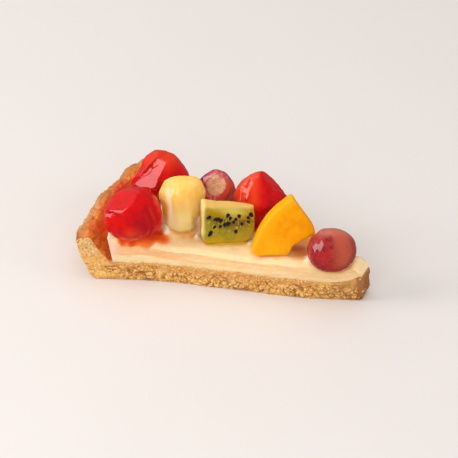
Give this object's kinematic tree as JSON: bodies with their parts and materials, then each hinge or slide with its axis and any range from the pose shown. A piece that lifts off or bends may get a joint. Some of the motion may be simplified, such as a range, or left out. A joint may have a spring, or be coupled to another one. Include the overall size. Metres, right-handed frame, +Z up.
{
  "type": "fruit tart slice",
  "caption": "Wedge of fruit tart: a shortcrust base with a raised uneven rim, a custard filling and glazed strawberries, grapes, kiwi, pineapple and mango on top.",
  "frame": {"origin": "middle of the slice's footprint box, on its flat underside", "axes": "+X towards the pointed end, with the rim at -X; +Z up; the cut face that the fruit's front row stands behind looks to -Y"},
  "size_m": [0.1112, 0.0652, 0.0388],
  "materials": {
    "crust": "baked shortcrust, dry and crumbly, browned at the rim",
    "custard": "set custard, satin, smeared along the cuts",
    "strawberry": "red flesh under a clear wet glaze",
    "pineapple": "pale yellow flesh under a clear wet glaze",
    "kiwi": "green flesh with dark seeds under a clear wet glaze",
    "mango": "orange flesh, satin",
    "cut_grape": "cut red grape, moist, with a red skin",
    "grape": "red grape skin under a clear wet glaze"
  },
  "bodies": {
    "root": {"crust_shell": "crust", "custard_filling": "custard", "strawberry_front": "strawberry", "strawberry_back": "strawberry", "strawberry_right": "strawberry", "pineapple_chunk": "pineapple", "kiwi_piece": "kiwi", "mango_wedge": "mango", "grape_back": "cut_grape", "grape_front": "grape"}
  },
  "joints": []
}
